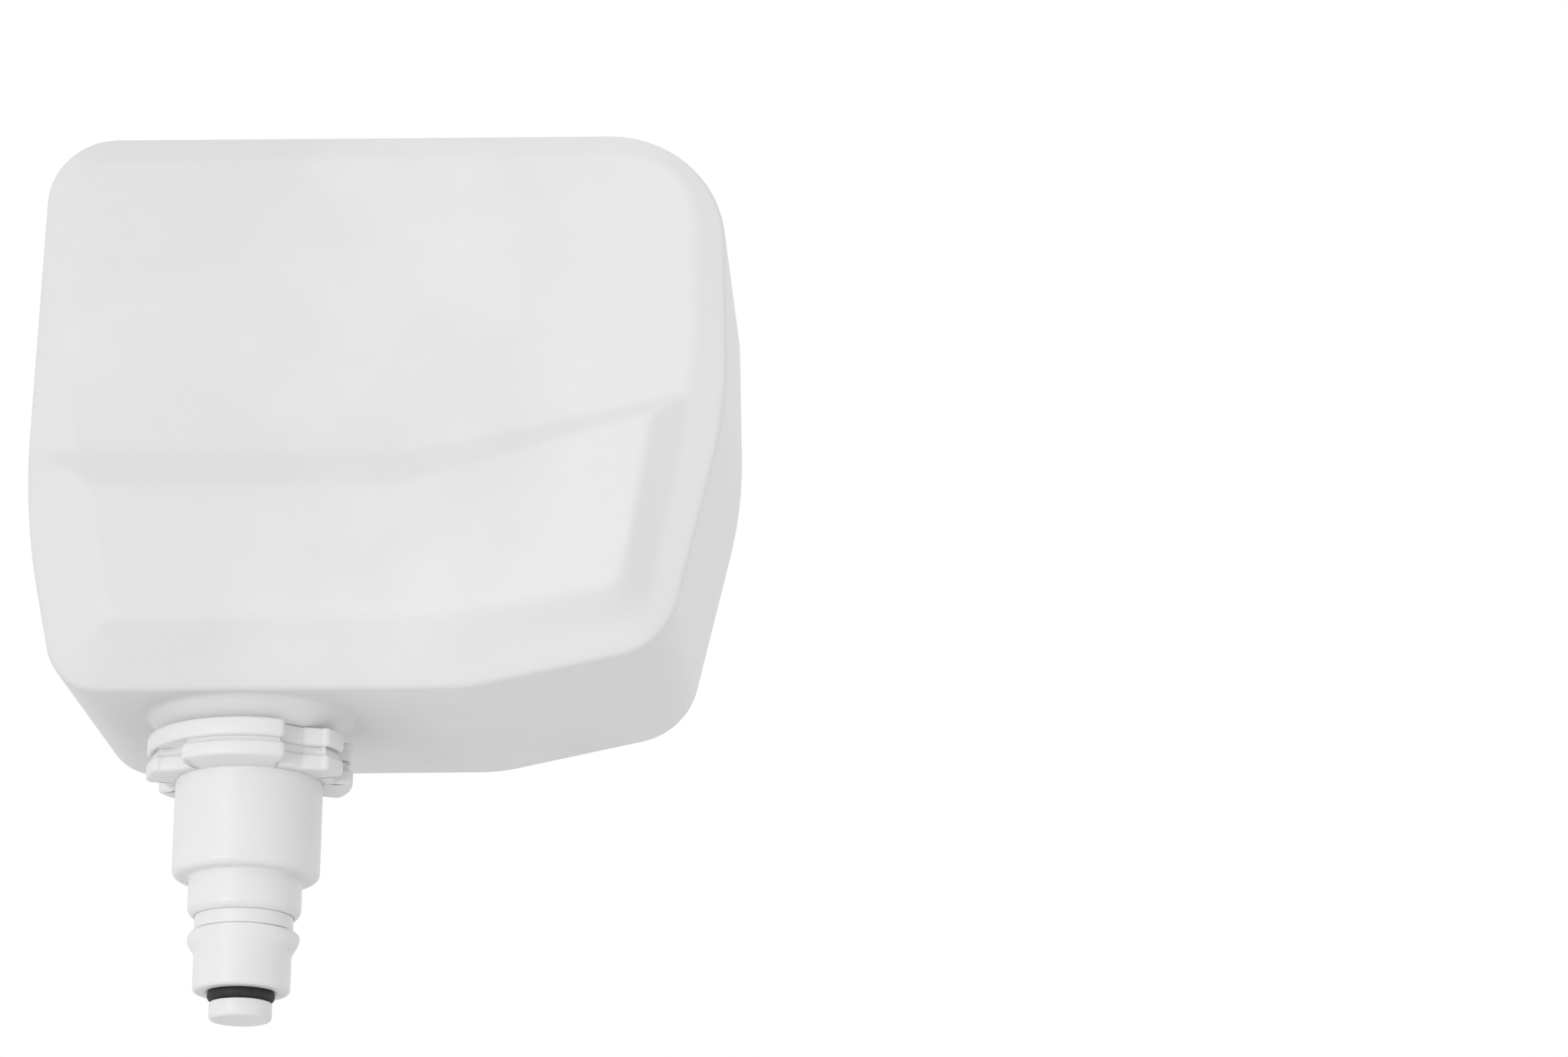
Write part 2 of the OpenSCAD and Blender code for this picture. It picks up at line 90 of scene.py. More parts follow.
# Lobes of the keyed rings, as start and end angles from the front, positive to the right, then the
# angles of their feet where a flank runs straight across the ring
FRONT_LOBE = (-33.5, 29.5, -33.5, 29.5)
RIGHT_WING = (55.3, 75, 46.4, 75)
REAR_LOBES = ((91, 127, 91, 127), (148, 212, 148, 212), (230, 254, 230, 254))
COLLAR_LOBES = ((-84, 29, -84, 29), RIGHT_WING) + REAR_LOBES
LOCK_LOBES = (FRONT_LOBE, RIGHT_WING) + REAR_LOBES + ((276, 304.7, 276, 313.6),)
LUGS = ((-20, 20), (100, 140), (220, 260))  # start and end angles of the locking lugs

# Slopes of the raised band's upper edge and of its ramp's, left of their bend and right of it
BAND_FALL = -0.018
BAND_RISE = 0.295
RAMP_FALL = -0.019
RAMP_RISE = 0.2065

# The photograph's frame at its scaled-down size, and where features show in it
FRAME_W = 1568.0
FRAME_H = 1568.0 * 1380.0 / 2048.0
POINTS = {
    "tank_left": (27.6, 505.0),
    "tank_right": (741.9, 430.0),
    "tank_top": (560.0, 136.3),
    "tip_bottom": (240.5, 1026.7),
    "ring_underside": (250.1, 768.7),
    "spigot_left": (173.2, 830.0),
    "spigot_right": (320.2, 830.0),
    "ear_left": (187.2, 938.0),
    "ear_right": (300.0, 938.0),
    "tip_seal": (240.7, 995.0),
    "band_corner_top": (647.6, 415.8),
    "band_corner_low": (621.7, 583.4),
}


# ---- sizes and colours that a user would change ----


def span(node, axis):
    """A CAD node's extent along one axis, in millimetres."""
    low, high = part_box(node)
    return (high[axis] - low[axis]) / MM


def edge(node, axis, side):
    """The lowest (side 0) or highest (side 1) coordinate of a CAD node, in millimetres."""
    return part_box(node)[side][axis] / MM


def length(name, description, default):
    """A length in millimetres as an add-on property."""
    return FloatProperty(name=name, description=description + ", in mm", default=default,
                         unit="NONE", min=0.0)


def colour(name, description, default):
    """A colour as an add-on property."""
    return FloatVectorProperty(
        name=name, description=description, default=default, subtype="COLOR", size=3, min=0.0, max=1.0)


class TankSizes(bpy.types.PropertyGroup):
    bevel: length("Front bevel depth", "From the raised band back to the crease", 8.6)
    band_step: length("Band step", "How far the lower band stands out from the upper face", 5.0)
    band_high: length("Band height", "From the floor to the band's upper edge at its bend", 39.6)
    ramp_high: length("Ramp height", "From the band's upper edge to the upper face at the bend", 9.1)
    hollow: length("Right hollow", "How much the bevel right of the band is hollowed", 1.3)
    wall: length("Wall", "Thickness of the moulded wall", 1.5)
    front_soft: length("Front edge softness", "Half width of the rounding round the front face", 1.6)
    crease_soft: length("Crease softness", "Half width of the rounding along the crease", 1.4)
    back_round: length("Back rounding", "Radius of the edge round the back", 5.0)
    boss_r: length("Boss radius", "Radius of the boss round the neck at the tank's floor", 20.5)
    boss_high: length("Boss height", "How far the boss stands down from the tank's floor", 4.6)
    neck_r: length("Neck radius", "Inner radius of the neck", 14.0)


class RingSizes(bpy.types.PropertyGroup):
    lobe_r: length("Lobe radius", "Outer radius of the rings' lobes", span("lock_ring", 0) / 2)
    root_r: length("Root radius", "Radius between the lobes", 17.4)
    edge_soft: length("Edge rounding", "Rounding of the lobes' upper and lower edges", 0.7)
    corner_soft: length("Corner rounding", "Rounding of the lobes' upright corners", 1.3)
    groove: length("Groove", "Depth of the groove between the two rows of lobes", 1.0)


class ValveSizes(bpy.types.PropertyGroup):
    steps: IntProperty(name="Steps round", description="Facets round each turned piece", default=160, min=24)
    housing_edge: length("Housing edge", "Rounding of the spigot's lower edge", 1.5)
    step_edge: length("Step edge", "Rounding of the second step's lower edge", 1.9)
    nozzle_edge: length("Nozzle edge", "Rounding of the nozzle's lower edge", 0.8)
    spigot_r: length("Spigot radius", "Radius of the large plain cylinder", 15.0)
    step_r: length("Step radius", "Radius of the second step", 11.5)
    sleeve_r: length("Sleeve radius", "Radius of the sliding sleeve under the second step", 10.0)
    barrel_r: length("Barrel radius", "Radius of the nozzle between its ears and its mouth", 9.85)


class Finishes(bpy.types.PropertyGroup):
    tank: colour("Tank", "Milky moulded plastic", (0.76, 0.76, 0.76))
    valve: colour("Valve", "White turned plastic", (0.79, 0.79, 0.79))
    rubber: colour("Rubber", "Black seal rubber", (0.022, 0.022, 0.023))
    steel: colour("Steel", "Spring steel", (0.55, 0.56, 0.58))
    ball: colour("Float", "Hollow float ball", (0.78, 0.78, 0.76))


class StudioSettings(bpy.types.PropertyGroup):
    azimuth: FloatProperty(name="Azimuth", description="Degrees to the right of the front", default=2.1)
    elevation: FloatProperty(name="Elevation", description="Degrees the camera looks up", default=18.1)
    focal: length("Lens", "Focal length on a 36 mm wide sensor", 96.68)
    distance: length("Distance", "From the camera to the ring along the view", 863.5)
    world: FloatProperty(name="Room light", description="Strength of the even room light", default=0.77)
    key: FloatProperty(name="Key light", description="Watts of the lamp at the front left", default=4.2)
    side: FloatProperty(name="Side light", description="Watts of the lamp high on the right", default=1.0)
    top: FloatProperty(name="Top light", description="Watts of the lamp overhead", default=0.5)
    floor_drop: length("Floor drop", "How far the floor lies under the hanging valve", 260.0)


def settings(name):
    """This add-on's property group of that name on the scene."""
    return getattr(bpy.context.scene, "float_valve_" + name)


# ---- plane geometry ----


def arc(x, z, r, start, end, count=7):
    """Points along a circle's arc, from one angle in degrees to another."""
    turns = [math.radians(start + (end - start) * i / count) for i in range(count + 1)]
    return [(x + r * math.cos(t), z + r * math.sin(t)) for t in turns]


def softened(corners, count=6):
    """A closed outline of (x, z, radius) corners with each corner rounded by its radius."""
    points = []
    for i, (x, z, r) in enumerate(corners):
        here = Vector((x, z))
        before = (Vector(corners[i - 1][:2]) - here).normalized()
        after = (Vector(corners[(i + 1) % len(corners)][:2]) - here).normalized()
        if r <= 0:
            points.append((x, z))
            continue
        half = math.acos(max(-1.0, min(1.0, before.dot(after)))) / 2
        centre = here + (before + after).normalized() * (r / math.sin(half))
        first = here + before * (r / math.tan(half)) - centre
        last = here + after * (r / math.tan(half)) - centre
        start = math.atan2(first.y, first.x)
        swing = (math.atan2(last.y, last.x) - start + math.pi) % (2 * math.pi) - math.pi
        for k in range(count + 1):
            t = start + swing * k / count
            points.append((centre.x + r * math.cos(t), centre.y + r * math.sin(t)))
    return points


def smooth_max(a, b, k):
    """The larger of two values, blended over a band of width k."""
    h = max(k - abs(a - b), 0.0) / k
    return max(a, b) + h * h * k / 4


def smooth_min(a, b, k):
    """The smaller of two values, blended over a band of width k."""
    return -smooth_max(-a, -b, k)


def soft_step(a, b, x):
    """Rises smoothly from 0 at a to 1 at b."""
    t = max(0.0, min(1.0, (x - a) / (b - a)))
    return t * t * (3 - 2 * t)


# ---- meshes ----


def new_piece(name, mesh, slot, body, *nodes):
    """A finished piece that rides on a body and stands for CAD nodes."""
    piece = bpy.data.objects.new(name, mesh)
    bpy.context.scene.collection.objects.link(piece)
    mesh.materials.append(material_named(slot))
    for face in mesh.polygons:
        face.use_smooth = True
    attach(piece, body)
    if nodes:
        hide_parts(*nodes)
    return piece


def even_shading(piece):
    """Keeps flat faces flat beside small roundings."""
    weighted = piece.modifiers.new("even shading", "WEIGHTED_NORMAL")
    weighted.keep_sharp = False
    weighted.weight = 80


def mesh_of(name, points, faces):
    """A mesh from points in millimetres, its normals facing out."""
    mesh = bpy.data.meshes.new(name)
    mesh.from_pydata([tuple(c * MM for c in p) for p in points], [], faces)
    work = bmesh.new()
    work.from_mesh(mesh)
    bmesh.ops.remove_doubles(work, verts=work.verts, dist=0.002 * MM)
    bmesh.ops.dissolve_degenerate(work, dist=0.001 * MM, edges=work.edges)
    bmesh.ops.recalc_face_normals(work, faces=work.faces)
    work.to_mesh(mesh)
    work.free()
    return mesh


def turned(profile, steps):
    """Points and faces of a closed (radius, height) profile turned about the valve's axis."""
    points, faces = [], []
    count = len(profile)
    for s in range(steps):
        t = 2 * math.pi * s / steps
        points += [(r * math.sin(t), -r * math.cos(t), z) for r, z in profile]
    for s in range(steps):
        a, b = s * count, ((s + 1) % steps) * count
        for i in range(count):
            j = (i + 1) % count
            if profile[i][0] < 1e-6 and profile[j][0] < 1e-6:
                continue
            faces.append((a + i, a + j, b + j, b + i))
    return points, faces


def joined(*parts):
    """Several (points, faces) parts as one."""
    points, faces = [], []
    for part_points, part_faces in parts:
        start = len(points)
        points += part_points
        faces += [tuple(start + i for i in face) for face in part_faces]
    return points, faces


def lobed_plan(lobes, root_r, lobe_r, corner):
    """A ring's outline from above as (angle, radius), with rounded corners on every lobe."""
    turn = math.degrees(corner / lobe_r)
    plan = []
    for number, (start, end, foot_in, foot_out) in enumerate(lobes):
        after = lobes[(number + 1) % len(lobes)][2] + (360 if number == len(lobes) - 1 else 0)
        lean_in, lean_out = foot_in - start, foot_out - end
        for k in range(4):
            plan.append((foot_in - lean_in * k / 4, root_r + 0.3 + (lobe_r - corner - root_r - 0.3) * k / 4))
        for k in range(7):
            t = k / 6 * math.pi / 2
            plan.append((start + turn * (1 - math.cos(t)), lobe_r - corner * (1 - math.sin(t))))
        inner = max(2, int((end - start - 2 * turn) / 2.5))
        plan += [(start + turn + (end - start - 2 * turn) * k / inner, lobe_r) for k in range(1, inner)]
        for k in range(7):
            t = (6 - k) / 6 * math.pi / 2
            plan.append((end - turn * (1 - math.cos(t)), lobe_r - corner * (1 - math.sin(t))))
        for k in range(1, 5):
            plan.append((end + lean_out * k / 4, lobe_r - corner - (lobe_r - corner - root_r - 0.3) * k / 4))
        gap = max(2, int((after - foot_out - 2.4) / 2.5))
        if after - foot_out > 4:
            plan += [(foot_out + 1.2 + (after - foot_out - 2.4) * k / gap, root_r) for k in range(gap + 1)]
    return plan


def ring_on_plan(plan, section, least, lift=0.0):
    """Points and faces of a ring. section gives (radius, inset, height) for each level, where a radius
    of None follows the lobed outline, moved in by the inset but never inside the least radius. lift
    raises the front lobe."""
    flat = [Vector((r * math.sin(math.radians(a)), -r * math.cos(math.radians(a)))) for a, r in plan]
    count, levels = len(flat), len(section)
    points, faces = [], []
    for i, here in enumerate(flat):
        along = (flat[(i + 1) % count] - flat[i - 1]).normalized()
        outward = Vector((along.y, -along.x))
        if outward.dot(here) < 0 and abs(outward.dot(here.normalized())) > 0.3:
            outward = -outward
        for limit, inset, z in section:
            at = here - outward * inset
            if limit is not None or at.length < least:
                at = here.normalized() * (limit or least)
            front = limit is None and abs(plan[i][0] + 1) < 30.6 and at.length > least + 0.8
            points.append((at.x, at.y, z + lift * front))
    for i in range(count):
        a, b = i * levels, ((i + 1) % count) * levels
        for k in range(levels):
            m = (k + 1) % levels
            faces.append((a + k, a + m, b + m, b + k))
    return points, faces


def sector(r0, r1, z0, z1, start, end, count=12):
    """Points and faces of a plain block bent round the axis, such as a locking lug."""
    points, faces = [], []
    for k in range(count + 1):
        t = math.radians(start + (end - start) * k / count)
        for r, z in ((r0, z0), (r1, z0), (r1, z1), (r0, z1)):
            points.append((r * math.sin(t), -r * math.cos(t), z))
    for k in range(count):
        a, b = k * 4, (k + 1) * 4
        faces += [(a + i, a + (i + 1) % 4, b + (i + 1) % 4, b + i) for i in range(4)]
    faces += [(0, 3, 2, 1), tuple(count * 4 + i for i in range(4))]
    return points, faces


# ---- the tank's shape ----


class TankForm:
    """Works out the tank's surface: rows run from the middle of the front round to the back."""

    def __init__(self, sizes):
        self.sizes = sizes
        self.left = edge("tank_shell", 0, 0)
        self.right = edge("tank_shell", 0, 1)
        self.front = edge("tank_shell", 1, 0)
        self.back = edge("tank_shell", 1, 1)
        self.top = edge("tank_shell", 2, 1)
        self.neck_end = edge("tank_shell", 2, 0)
        self.collar_top = edge("neck_collar", 2, 1)
        self.floor = self.collar_top + sizes.boss_high
        self.face_y = self.front + sizes.band_step
        self.crease = self.front + sizes.bevel
        self.wide = self.right - self.left
        self.high = self.top - self.floor
        self.centre = Vector((self.left + 0.5 * self.wide, self.floor + 0.5 * self.high))
        self.rim = softened([
            (self.left + 1.4, self.top, 14), self.corner(0, 0.314, 1.03), self.corner(0.0575, 0, 0.08),
            self.corner(0.637, 0, 0.27), self.corner(0.917, 0.071, 0.105), self.corner(1, 0.492, 0.63),
            (self.right - 1.2, self.top - 1, 24.5)], 14)
        self.face = softened([
            self.corner(0.058, 0.944, 0.042), self.corner(0.062, 0.46, 0.21), self.corner(0.14, 0.17, 0.02),
            self.corner(0.632, 0.17, 0.14), self.corner(0.86, 0.21, 0.06), self.corner(0.952, 0.55, 0.35),
            self.corner(0.952, 0.944, 0.105)], 12)
        self.band = softened([
            self.corner(0.0432, 0.75, 0.02), self.corner(0.1335, 0.11, 0.02), self.corner(0.632, 0.11, 0.14),
            self.corner(0.855, 0.153, 0.03), self.corner(0.933, 0.75, 0.02)], 8)
        self.bend_x = self.left + 0.537 * self.wide

    def corner(self, across, up, rounding):
        """A corner at a share of the tank's width and height."""
        return (self.left + across * self.wide, self.floor + up * self.high, rounding * self.wide)

    def stations(self):
        """Points evenly spaced along the rim, closer together by the neck."""
        rim = [Vector(p) for p in self.rim]
        walk, total = [], 0.0
        for i, here in enumerate(rim):
            there = rim[(i + 1) % len(rim)]
            near_neck = abs((here.x + there.x) / 2) < 27 and here.y < self.floor + 3
            walk.append((total, here, there))
            total += (there - here).length * (1.6 if near_neck else 1.0)
        count = 440
        found, k = [], 0
        for i in range(count):
            aim = total * i / count
            while k + 1 < len(walk) and walk[k + 1][0] <= aim:
                k += 1
            start, here, there = walk[k]
            end = walk[k + 1][0] if k + 1 < len(walk) else total
            found.append(here.lerp(there, (aim - start) / max(end - start, 1e-9)))
        return found

    def reach(self, outline, direction):
        """How far an outline reaches from the tank's centre in a direction."""
        best = 0.0
        for i, a in enumerate(outline):
            a = Vector(a) - self.centre
            side = Vector(outline[(i + 1) % len(outline)]) - self.centre - a
            cross = direction.x * side.y - direction.y * side.x
            if abs(cross) < 1e-9:
                continue
            along = (a.x * side.y - a.y * side.x) / cross
            share = (a.x * direction.y - a.y * direction.x) / cross
            if along > 0 and -1e-6 <= share <= 1 + 1e-6:
                best = max(best, along)
        return best

    def row(self, reach, full):
        """(distance out, depth) pairs for one direction, from the front's middle to the back's."""
        s = self.sizes
        front, crease, back, r = self.face_y, self.crease, self.back, s.back_round
        middle = 74
        row = [((reach - s.front_soft) * k / middle, front) for k in range(middle + 1)]
        slope = Vector((full - reach, crease - front)).normalized()
        start, end = Vector((reach - s.front_soft, front)), Vector((reach, front)) + slope * s.front_soft
        row += bend(start, Vector((reach, front)), end, 10)
        low = Vector((full, crease)) - slope * s.crease_soft
        row += [tuple(end.lerp(low, k / 12)) for k in range(1, 12)]
        row += bend(low, Vector((full, crease)), Vector((full, crease + s.crease_soft)), 7)
        side = 64
        first = crease + s.crease_soft
        row += [(full, first + (back - r - first) * k / side) for k in range(1, side)]
        row += arc(full - r, back - r, r, 0, 90, 12)
        row += [((full - r) * (1 - k / 16), back) for k in range(1, 17)]
        return row

    def raised(self, out, d, y, face_reach, band_reach, full):
        """The depth once the lower band, its ramp and its bevel stand out from the plain front."""
        if band_reach >= full - 1 or y > self.crease + 1.3:
            return y
        s = self.sizes
        plain = y
        if 2 * d > face_reach + full:
            plain = self.face_y + (d - face_reach) / (full - face_reach) * (self.crease - self.face_y)
        x, z = self.centre.x + out.x * d, self.centre.y + out.y * d
        share = (d - band_reach) / (full - band_reach)
        hollow = s.hollow * soft_step(0.2, 0.8, out.x)
        bevel = share * s.bevel + hollow * smooth_min(2 * share, 2 - 2 * share, 0.3)
        side = x - self.bend_x
        band_top = self.floor + s.band_high + smooth_max(BAND_FALL * side, BAND_RISE * side, 1.0)
        ramp_top = self.floor + s.band_high + s.ramp_high
        ramp_top += smooth_max(RAMP_FALL * side, RAMP_RISE * side, 1.0)
        ramp = (z - band_top) / (ramp_top - band_top) * (plain - self.front)
        raised = self.front + smooth_max(smooth_max(0.0, bevel, 0.8), ramp, 1.0)
        front = smooth_min(plain, raised, 0.05 + min(0.95, (full - d) / 3))
        return y - plain + front + (raised - front) * soft_step(0.5, 4.0, band_top - z)

    def with_boss(self, x, y, z):
        """A place on the skin, drawn down to the boss where it lies on the floor round the neck."""
        if z < self.floor + 6 and y > self.crease - 1:
            boss = soft_step(self.sizes.boss_r + 1.2, self.sizes.boss_r - 3.6, math.hypot(x, y))
            z -= self.sizes.boss_high * boss * soft_step(self.floor + 6, self.floor + 1.5, z)
        return x, y, z


def bend(start, corner, end, count):
    """Points along a rounded corner between two places, its end included and its start not."""
    points = []
    for k in range(1, count + 1):
        t = k / count
        p = start * (1 - t) ** 2 + corner * (2 * t * (1 - t)) + end * t * t
        points.append(tuple(p))
    return points


def tank_mesh(form):
    """The tank's outer skin with its neck drawn down; a modifier gives it its wall."""
    points, faces = [], []
    stations = form.stations()
    for rim in stations:
        out = rim - form.centre
        full = out.length
        out.normalize()
        face_reach, band_reach = form.reach(form.face, out), form.reach(form.band, out)
        for d, y in form.row(face_reach, full):
            depth = form.raised(out, d, y, face_reach, band_reach, full)
            points.append(form.with_boss(form.centre.x + out.x * d, depth, form.centre.y + out.y * d))
    count, levels = len(stations), len(points) // len(stations)
    for i in range(count):
        a, b = i * levels, ((i + 1) % count) * levels
        faces += [(a + k, a + k + 1, b + k + 1, b + k) for k in range(levels - 1)]
    mesh = mesh_of("tank skin", points, faces)
    work = bmesh.new()
    work.from_mesh(mesh)
    open_neck(work, form)
    bmesh.ops.recalc_face_normals(work, faces=work.faces)
    work.to_mesh(mesh)
    work.free()
    return mesh


def open_neck(work, form):
    """Cuts the neck's hole through the floor and draws its edge down to the neck's end."""
    neck_r = form.sizes.neck_r * MM
    top = (form.floor + 3) * MM

    def inside(v):
        return v.co.z < top and math.hypot(v.co.x, v.co.y) < neck_r + 0.35 * MM

    cut = [f for f in work.faces if any(inside(v) for v in f.verts)]
    bmesh.ops.delete(work, geom=cut, context="FACES")
    loose = [v for v in work.verts if not v.link_faces]
    bmesh.ops.delete(work, geom=loose, context="VERTS")
    rim = [e for e in work.edges if e.is_boundary]
    for v in {v for e in rim for v in e.verts}:
        flat = math.hypot(v.co.x, v.co.y)
        v.co.x *= neck_r / flat
        v.co.y *= neck_r / flat
        v.co.z = form.collar_top * MM
    for height in (form.collar_top - 1.5, form.collar_top - 4, form.neck_end):
        made = bmesh.ops.extrude_edge_only(work, edges=rim)
        fresh = [g for g in made["geom"] if isinstance(g, bmesh.types.BMVert)]
        rim = [g for g in made["geom"] if isinstance(g, bmesh.types.BMEdge)]
        for v in fresh:
            v.co.z = height * MM


# ---- materials ----


def shader_tree(name):
    """A new node material, its principled shader and a helper that adds and links nodes."""
    material = bpy.data.materials.new(name)
    material.use_nodes = True
    nodes = material.node_tree.nodes
    links = material.node_tree.links
    shader = nodes["Principled BSDF"]
    place = nodes.new("ShaderNodeTexCoord")

    def add(kind, sources=(), **values):
        node = nodes.new("ShaderNode" + kind)
        for key, value in values.items():
            if key in node.inputs.keys():
                node.inputs[key].default_value = value
            elif hasattr(node, key):
                setattr(node, key, value)
        for socket, source in dict(sources).items():
            links.new(source, node.inputs[socket])
        return node

    return material, shader, place.outputs["Object"], add, links


def tone_mix(add, factor, low, high):
    """Two close tones of one colour, chosen by a factor."""
    ramp = add("ValToRGB", {"Fac": factor})
    ramp.color_ramp.elements[0].position = 0.3
    ramp.color_ramp.elements[1].position = 0.7
    ramp.color_ramp.elements[0].color = (*low, 1)
    ramp.color_ramp.elements[1].color = (*high, 1)
    return ramp.outputs["Color"]


def scaled(colour_value, k):
    """A colour made lighter or darker."""
    return tuple(min(1.0, c * k) for c in colour_value)


def milky_plastic():
    """Blow-moulded tank plastic: cloudy walls with a satin skin, and painted light that makes the colour
    paler towards the right.
    """
    left, right = edge("tank_shell", 0, 0) * MM, edge("tank_shell", 0, 1) * MM
    material, shader, place, add, links = shader_tree("milky_plastic")
    base = tuple(settings("finishes").tank)
    cloud = add("TexNoise", {"Vector": place}, Scale=22.0, Detail=4.0, Roughness=0.55)
    axes = add("SeparateXYZ", {"Vector": place})
    # Painted light: a ramp across the tank from left to right lightens the colour on the right, standing in
    # for light that falls there
    painted_light_ramp = add("MapRange", {"Value": axes.outputs["X"]}, **{
        "From Min": left, "From Max": right, "To Min": -0.32, "To Max": 0.32})
    cloud_and_painted_light = add("Math", {0: cloud.outputs["Fac"], 1: painted_light_ramp.outputs["Result"]}, operation="ADD")
    fine = add("TexNoise", {"Vector": place}, Scale=900.0, Detail=2.0, Roughness=0.6)
    flecks = add("TexNoise", {"Vector": place}, Scale=260.0, Detail=1.0)
    # The tone mixes the plastic's random cloudiness with the painted light ramp
    links.new(tone_mix(add, cloud_and_painted_light.outputs["Value"], scaled(base, 0.95), scaled(base, 1.045)),
              shader.inputs["Base Color"])
    gloss = add("MapRange", {"Value": flecks.outputs["Fac"]}, **{"To Min": 0.44, "To Max": 0.54})
    links.new(gloss.outputs["Result"], shader.inputs["Roughness"])
    bump = add("Bump", {"Height": fine.outputs["Fac"]}, Strength=0.06, Distance=0.0002)
    links.new(bump.outputs["Normal"], shader.inputs["Normal"])
    shader.inputs["IOR"].default_value = 1.5
    shader.inputs["Specular IOR Level"].default_value = 0.35
    return material


def white_plastic():
    """Turned and moulded valve plastic, brighter and smoother than the tank."""
    material, shader, place, add, links = shader_tree("white_plastic")
    base = tuple(settings("finishes").valve)
    cloud = add("TexNoise", {"Vector": place}, Scale=70.0, Detail=3.0)
    rings = add("TexWave", {"Vector": place}, Scale=420.0, Distortion=1.2, bands_direction="Z")
    links.new(tone_mix(add, cloud.outputs["Fac"], scaled(base, 0.98), scaled(base, 1.01)),
              shader.inputs["Base Color"])
    gloss = add("MapRange", {"Value": cloud.outputs["Fac"]}, **{"To Min": 0.33, "To Max": 0.43})
    links.new(gloss.outputs["Result"], shader.inputs["Roughness"])
    bump = add("Bump", {"Height": rings.outputs["Fac"]}, Strength=0.035, Distance=0.0001)
    links.new(bump.outputs["Normal"], shader.inputs["Normal"])
    shader.inputs["IOR"].default_value = 1.48
    shader.inputs["Specular IOR Level"].default_value = 0.45
    return material


def black_rubber():
    """Matt seal rubber with a little dust in its grain."""
    material, shader, place, add, links = shader_tree("black_rubber")
    base = tuple(settings("finishes").rubber)
    grain = add("TexNoise", {"Vector": place}, Scale=1400.0, Detail=3.0)
    links.new(tone_mix(add, grain.outputs["Fac"], scaled(base, 0.7), scaled(base, 1.5)),
              shader.inputs["Base Color"])
    gloss = add("MapRange", {"Value": grain.outputs["Fac"]}, **{"To Min": 0.5, "To Max": 0.7})
    links.new(gloss.outputs["Result"], shader.inputs["Roughness"])
    bump = add("Bump", {"Height": grain.outputs["Fac"]}, Strength=0.15, Distance=0.0001)
    links.new(bump.outputs["Normal"], shader.inputs["Normal"])
    shader.inputs["Specular IOR Level"].default_value = 0.35
    return material


def spring_steel():
    """Drawn stainless steel with fine lines along its turning."""
    material, shader, place, add, links = shader_tree("spring_steel")
    base = tuple(settings("finishes").steel)
    lines = add("TexWave", {"Vector": place}, Scale=900.0, Distortion=2.0, bands_direction="Z")
    links.new(tone_mix(add, lines.outputs["Fac"], scaled(base, 0.9), scaled(base, 1.08)),
              shader.inputs["Base Color"])
    gloss = add("MapRange", {"Value": lines.outputs["Fac"]}, **{"To Min": 0.22, "To Max": 0.38})
    links.new(gloss.outputs["Result"], shader.inputs["Roughness"])
    shader.inputs["Metallic"].default_value = 1.0
    return material


def pale_plastic(name, roughness):
    """Smooth pale plastic of the float ball and the strainer."""
    material, shader, place, add, links = shader_tree(name)
    base = tuple(settings("finishes").ball)
    cloud = add("TexNoise", {"Vector": place}, Scale=120.0, Detail=2.0)
    links.new(tone_mix(add, cloud.outputs["Fac"], scaled(base, 0.96), scaled(base, 1.03)),
              shader.inputs["Base Color"])
    shader.inputs["Roughness"].default_value = roughness
    return material


def material_named(name):
    """The finish of that name, made when first asked for."""
    makers = {
        "milky_plastic": milky_plastic, "white_plastic": white_plastic,
        "black_rubber": black_rubber, "spring_steel": spring_steel,
        "ball_plastic": lambda: pale_plastic("ball_plastic", 0.25),
        "screen_plastic": lambda: pale_plastic("screen_plastic", 0.5),
    }
    return bpy.data.materials.get(name + "_finish") or named(makers[name](), name + "_finish")


def named(material, name):
    """The material under its final name."""
    material.name = name
    return material


# ---- operators: one for each piece or group of like pieces ----


class FLOATVALVE_OT_tank(bpy.types.Operator):
    """Builds the blow-moulded tank with its raised band, boss and neck"""
    bl_idname = "float_valve.tank"
    bl_label = "Tank"

    def execute(self, context):
        mesh = tank_mesh(TankForm(settings("tank")))
        tank = new_piece("tank", mesh, "milky_plastic", TANK_BODY, "tank_shell")
        wall = tank.modifiers.new("wall", "SOLIDIFY")
        wall.thickness = settings("tank").wall * MM
        wall.offset = -1
        return {"FINISHED"}


